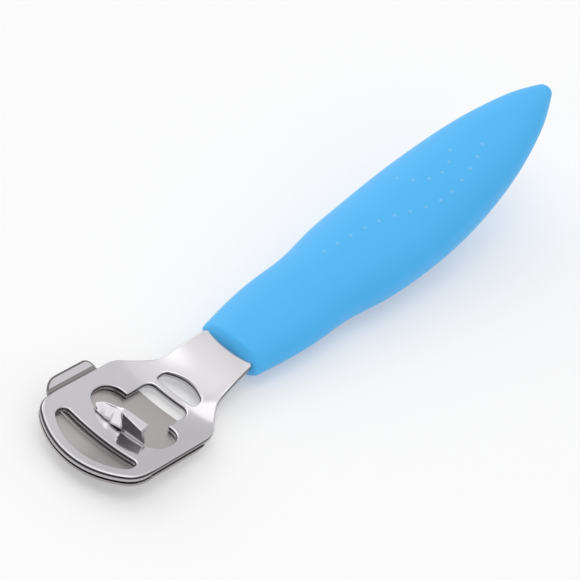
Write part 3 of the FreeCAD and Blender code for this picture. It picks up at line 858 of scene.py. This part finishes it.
def plated_steel():
    """Bright plating: broad polish waves, fine wipe marks, a faint haze, and walls painted dark as painted
    shade.
    """
    paint = Paint("plated_steel", Metallic=1.0)
    wipes = paint.noise(paint.stretched((900, 60, 900)), 3.0, 3.0)
    haze = paint.noise(paint.place, 180.0, 3.0, 0.6)
    waves = paint.noise(paint.place, 90.0, 1.0)
    roughness = 0.06 + 0.06 * haze + 0.03 * wipes
    depth = paint.measured("depth")
    # Painted shade: from 0.12 mm below the upper face the walls are painted near black, easing to a quarter
    # of that past 0.5 mm; the same band is also rougher.
    wall = paint.step(depth, 0.12, 0.28) * (1 - 0.75 * paint.step(depth, 0.5, 0.85))
    tint = paint.mixed(haze, shade("plating", 0.96), shade("plating", 1.04))
    tint = paint.mixed(wall * 0.95, tint, shade("plating", 0.05))
    return paint.feed(Base_Color=tint, Roughness=roughness + 0.2 * wall,
                      Normal=paint.bump(waves, 0.1, 0.0002))


def beyond(value):
    """How far a value is above nought, and nought below it."""
    return 0.5 * (value + value.magnitude())


def sole_steel():
    """Plating of the sole plate: a satin inner face and a bright tab, with a catch painted lighter as a
    painted highlight, and painted shade on the face, at the tab's rim and root, on the front edge under the
    lip and under the catch's wing.
    """
    paint = Paint("sole_steel", Metallic=1.0)
    x, y, z = paint.on_head()
    haze = paint.noise(paint.place, 200.0, 3.0, 0.6)
    grain = paint.noise(paint.stretched((2200, 160, 2200)), 2.0, 2.0)
    catch = paint.step(z, -0.6, -0.2) * (1 - paint.step(x.magnitude(), 10.0, 10.6))
    clamp, head, blade = sizes("clamp"), sizes("head"), sizes("blade")

    def from_round(radius, along):
        """Distance from the middle of a round at the tab's outer edge, for points past that middle."""
        left = radius - clamp.half_width - clamp.tab_reach
        return (beyond(left - x) ** 2 + beyond(along) ** 2) ** 0.5

    # The tab: a rim 0.5 mm wide painted dark as the painted shade of an edge bevel, a bright face, and a
    # root painted darker as the painted shadow of the plate's edge, with darker painted lines at each side
    # of it.
    front = from_round(TAB_FRONT_ROUND, TAB_FRONT_Y + TAB_FRONT_ROUND - y)
    rear = from_round(TAB_REAR_ROUND, y - (TAB_REAR_Y - TAB_REAR_ROUND))
    rim = (paint.step(front, TAB_FRONT_ROUND - 0.6, TAB_FRONT_ROUND - 0.35)
           + paint.step(rear, TAB_REAR_ROUND - 0.6, TAB_REAR_ROUND - 0.35)).clamped()
    inward_of_tab = paint.step(x, -18.25, -18.0)
    tab = 1 - inward_of_tab
    root = inward_of_tab * (1 - paint.step(x, -16.3, -15.9))
    root_edge_shade = root * paint.step((x + 17.65).magnitude(), 0.2, 0.45)

    # Painted shadow of the head's lip: the upper part of the front edge is painted near black.
    radius = clamp.front_radius
    ahead = y - (clamp.front_y + radius)
    top = head.plate_thickness + blade.clearance + blade.thickness
    upper = 1 - paint.step(paint.measured("depth"), top + 0.05, top + 0.15)
    lip_shadow = paint.step((x * x + ahead * ahead) ** 0.5, radius - 0.9, radius - 0.5)
    lip_shadow = lip_shadow * upper * paint.step(-y, 18.0, 20.0)

    face = paint.mixed(haze, shade("satin", 1.05), shade("satin", 1.15))
    # Painted shade: the satin face is mixed up to 40% towards a dark copy from x = -5 to 5 mm, darker
    # towards the right.
    face = paint.mixed(0.4 * paint.step(x, -5.0, 5.0), face, shade("satin", 0.4))
    face = paint.mixed((tab * (1 - rim * 1.2)).clamped(), face, shade("plating"))
    # Painted shade and shadow on the tab: its root, the lines at the root's sides and its rim go towards a
    # dark copy of the satin.
    dark = (0.62 * root + 0.3 * root_edge_shade + tab * rim).clamped() * 0.95
    face = paint.mixed(dark, face, shade("satin", 0.3))
    # Painted shadow of the head's lip on the front edge.
    face = paint.mixed(lip_shadow, face, shade("satin", 0.06))
    # Painted highlight: the catch is painted 14% lighter than the plating.
    tint = paint.mixed(catch, face, shade("plating", 1.14))
    # Painted shade: the underside of the catch's left wing is painted dark, so that its mirror image in the
    # bridge is dark.
    wing_underside_shade = paint.measured("below") * (1 - paint.step(x, -3.8, -3.0))
    tint = paint.mixed(wing_underside_shade, tint, shade("satin", 0.35))
    roughness = 0.36 + 0.06 * haze + 0.05 * grain - 0.12 * tab - 0.2 * catch
    return paint.feed(Base_Color=tint, Roughness=roughness, Normal=paint.bump(grain, 0.08, 0.00005))


def blade_steel():
    """Ground strip: fine lines along the blade, and a satin sheen."""
    paint = Paint("blade_steel", Metallic=1.0)
    lines = paint.noise(paint.stretched((40, 2500, 2500)), 3.0, 2.0)
    cloud = paint.noise(paint.place, 120.0, 2.0)
    tint = paint.mixed((0.5 * lines + 0.5 * cloud).clamped(), shade("blade", 0.92), shade("blade", 1.06))
    return paint.feed(Base_Color=tint, Roughness=0.3 + 0.12 * lines,
                      Normal=paint.bump(lines, 0.12, 0.00005))


def handle_plastic():
    """Satin moulding: very fine leather of the mould, soft cloudy sheen, and raised dots painted paler as a
    painted highlight.
    """
    paint = Paint("handle_plastic", Metallic=0.0, IOR=1.46, Sheen_Weight=0.12, Sheen_Roughness=0.35)
    grain = paint.noise(paint.place, 2600.0, 2.0, 0.6)
    cloud = paint.noise(paint.place, 60.0, 3.0)
    dots = paint.measured("dots")
    tint = paint.mixed(cloud, shade("handle", 0.97), shade("handle", 1.03))
    # Painted highlight: the raised dots are painted paler than the moulding.
    tint = paint.mixed(dots, tint, [0.1 + 0.9 * channel for channel in shade("handle")])
    return paint.feed(Base_Color=tint, Roughness=0.38 + 0.06 * cloud + 0.04 * grain,
                      Normal=paint.bump(grain, 0.06, 0.00004))


def stage_paint():
    """White ground that keeps the shadow: seen directly or in metal, it also glows a little."""
    paint = Paint("white_ground", Roughness=0.7)
    cloud = paint.noise(paint.place, 4.0, 2.0)
    camera, glossy, clear = (paint.node("ShaderNodeLightPath", {}, {}, f"Is {name} Ray")
                             for name in ("Camera", "Glossy", "Transmission"))
    seen = (camera + glossy + clear).clamped()
    glow = paint.node("ShaderNodeEmission", {}, {"Color": (1, 1, 1, 1), "Strength": 1.0})
    plain = Socket(paint, paint.shader.outputs["BSDF"])
    mixed = paint.node("ShaderNodeMixShader", {}, {0: 0.3 * seen, 1: plain, 2: glow})
    paint.tree.links.new(mixed.output, paint.tree.nodes["Material Output"].inputs["Surface"])
    return paint.feed(Base_Color=paint.mixed(cloud, (0.97, 0.97, 0.975, 1), (0.98, 0.98, 0.98, 1)))


WORLD_LEVEL = 1.14
DARK_LEVEL = 0.05


def studio_world():
    """White light, stronger straight overhead, weaker behind and at the right, with a dark gap in front.

    The gap lies where the direction's height is about 0.55 to 0.87 and its Y is below minus 0.4.
    """
    world = bpy.data.worlds.new("studio")
    world.use_nodes = True
    wiring = Wiring(world.node_tree)
    x, y, z = wiring.split(wiring.node("ShaderNodeTexCoord", {}, {}, "Generated"))
    gap = wiring.step(z, 0.50, 0.58) * (1 - wiring.step(z, 0.82, 0.92)) * wiring.step(-y, 0.3, 0.5)
    background = world.node_tree.nodes["Background"]
    background.inputs["Color"].default_value = (1, 1, 1, 1)
    behind = wiring.step(y, 0.05, 0.75) * (0.26 + 0.14 * wiring.step(-x, 0.1, 0.7))
    change = 0.7 * wiring.step(z, 0.92, 0.99) - behind - 0.26 * wiring.step(x, 0.0, 0.7)
    strength = WORLD_LEVEL + change - (WORLD_LEVEL - DARK_LEVEL) * gap
    wiring.tree.links.new(strength.output, background.inputs["Strength"])
    return world


# Operators: one for each piece or group of like pieces, and one for the stage.


class SHAVER_OT_head_plate(bpy.types.Operator):
    """Builds the dished and pierced head with its neck and tang"""

    bl_idname = "shaver.head_plate"
    bl_label = "Head plate"

    def execute(self, context):
        shape = head_plate_mesh()
        places = shape[0]
        depth = sheet_height(places[:, :2], sizes("head"), 0.0) - places[:, 2]
        mesh_piece("shaving_head", shape, "tool", "plated_steel", ["head_plate"], plated_steel(),
                   depth=depth)
        return {"FINISHED"}


class SHAVER_OT_blade(bpy.types.Operator):
    """Builds the flexed blade with its honed edge"""

    bl_idname = "shaver.blade"
    bl_label = "Blade"

    def execute(self, context):
        mesh_piece("steel_blade", blade_mesh(), "clamp", "blade_steel", ["blade"], blade_steel())
        return {"FINISHED"}


class SHAVER_OT_clamp(bpy.types.Operator):
    """Builds the sole plate with its slit, thumb tab and catch"""

    bl_idname = "shaver.clamp"
    bl_label = "Sole plate"

    def execute(self, context):
        clamp = sizes("clamp")
        (catch, below), plate, stem = catch_head_mesh(clamp), clamp_mesh(), stem_mesh(clamp)
        shape = joined(catch, plate, stem)
        places, dish = shape[0], sizes("head").dish_radius
        mesh_piece("sole_plate", shape, "clamp", "plated_steel", ["clamp_plate"], sole_steel(), sharp=40,
                   below=np.pad(below, (0, len(places) - len(below))),
                   depth=np.hypot(places[:, 0], dish - places[:, 2]) - dish)
        return {"FINISHED"}


class SHAVER_OT_handle(bpy.types.Operator):
    """Builds the moulded handle"""

    bl_idname = "shaver.handle"
    bl_label = "Handle"

    def execute(self, context):
        body = handle_mesh()
        shape = joined(body, dots_mesh())
        mesh_piece("moulded_handle", shape, "tool", "handle_plastic", ["handle"], handle_plastic(),
                   dots=np.arange(len(shape[0])) >= len(body[0]))
        return {"FINISHED"}


def soft_light(name, place, size, power):
    """White square area light at a place in metres, aimed at the origin."""
    lamp = bpy.data.lights.new(name, "AREA")
    lamp.size = size
    lamp.energy = power
    light = bpy.data.objects.new(name, lamp)
    light.location = place
    light.rotation_mode = "QUATERNION"
    light.rotation_quaternion = (Vector() - Vector(place)).to_track_quat("-Z", "Y")
    bpy.context.scene.collection.objects.link(light)


# The photograph's camera, matched in the photograph's own frame: X across the tool, Z up.

CAMERA_AZIMUTH, CAMERA_ELEVATION, CAMERA_ROLL = 42.63, 56.0, -1.22  # degrees
CAMERA_DISTANCE = 0.7  # m
CAMERA_SCALE = 4.11  # pixels for a millimetre at that distance
PICTURE_WIDTH = 580  # pixels
SENSOR_WIDTH = 36  # mm
HEAD_SLOPE = 24.5  # degrees
HEAD_ORIGIN = (-0.394, -46.0, 2.6615)  # the head's origin against the camera's target, mm


def from_match(vectors):
    """Directions of the matched frame turned to the row frame."""
    turn = Matrix.Rotation(math.radians(HEAD_SLOPE), 3, "X")
    lay = Matrix.Rotation(HEAD_LEAN, 3, "X")
    return [lay @ (turn @ Vector(v)) for v in vectors]


def match_camera():
    a, e, q = (math.radians(v) for v in (CAMERA_AZIMUTH, CAMERA_ELEVATION, CAMERA_ROLL))
    right = Vector((math.cos(a), math.sin(a), 0))
    up = Vector((-math.sin(a) * math.sin(e), math.cos(a) * math.sin(e), math.cos(e)))
    back = Vector((math.sin(a) * math.cos(e), -math.cos(a) * math.cos(e), math.sin(e)))
    right, up = right * math.cos(q) + up * math.sin(q), up * math.cos(q) - right * math.sin(q)
    right, up, back, origin = from_match([right, up, back, Vector(HEAD_ORIGIN) / 1000])
    target = Vector(laid_down(np.zeros((1, 3)))[0]) - origin
    data = bpy.data.cameras.new("camera")
    data.sensor_width = SENSOR_WIDTH
    data.lens = SENSOR_WIDTH * CAMERA_DISTANCE * CAMERA_SCALE * 1000 / PICTURE_WIDTH
    data.clip_start = 0.01
    camera = bpy.data.objects.new("camera", data)
    facing = Matrix((right, up, back)).transposed().to_4x4()
    camera.matrix_world = Matrix.Translation(target + back * CAMERA_DISTANCE) @ facing
    bpy.context.scene.collection.objects.link(camera)
    bpy.context.scene.camera = camera


class SHAVER_OT_stage(bpy.types.Operator):
    """Lays the white ground, hangs the soft lights and sets the camera"""

    bl_idname = "shaver.stage"
    bl_label = "Stage"

    def execute(self, context):
        bpy.ops.mesh.primitive_plane_add(size=4.0, location=(0, 0, -0.0002))
        ground = context.active_object
        ground.name = "white_ground"
        ground.data.materials.append(stage_paint())
        soft_light("overhead", (0.0, 0.2, 1.6), 1.8, 1.0)
        soft_light("left", (-1.2, 0.4, 0.9), 1.0, 2.0)
        context.scene.world = studio_world()
        match_camera()
        context.scene.view_settings.view_transform = "Standard"
        return {"FINISHED"}


class SHAVER_PT_sidebar(bpy.types.Panel):
    """Sizes, finishes and the steps that build the shaver"""

    bl_idname = "SHAVER_PT_sidebar"
    bl_label = "Callus Shaver"
    bl_space_type = "VIEW_3D"
    bl_region_type = "UI"
    bl_category = "Callus Shaver"

    def draw(self, context):
        for group in GROUPS:
            settings = getattr(context.scene, group)
            box = self.layout.box()
            for name in settings.__annotations__:
                box.prop(settings, name)
        for operator in OPERATORS:
            self.layout.operator(operator.bl_idname)


GROUPS = {
    "shaver_head": HeadSizes,
    "shaver_blade": BladeSizes,
    "shaver_clamp": ClampSizes,
    "shaver_handle": HandleSizes,
    "shaver_finishes": Finishes,
}
OPERATORS = (SHAVER_OT_head_plate, SHAVER_OT_blade, SHAVER_OT_clamp, SHAVER_OT_handle, SHAVER_OT_stage)


def register():
    for name, group in GROUPS.items():
        bpy.utils.register_class(group)
        setattr(bpy.types.Scene, name, bpy.props.PointerProperty(type=group))
    for operator in OPERATORS:
        bpy.utils.register_class(operator)
    bpy.utils.register_class(SHAVER_PT_sidebar)


def unregister():
    bpy.utils.unregister_class(SHAVER_PT_sidebar)
    for operator in reversed(OPERATORS):
        bpy.utils.unregister_class(operator)
    for name, group in reversed(GROUPS.items()):
        delattr(bpy.types.Scene, name)
        bpy.utils.unregister_class(group)


def main():
    register()
    bpy.ops.shaver.head_plate()
    bpy.ops.shaver.blade()
    bpy.ops.shaver.clamp()
    bpy.ops.shaver.handle()
    bpy.ops.shaver.stage()


if __name__ == "__main__":
    main()
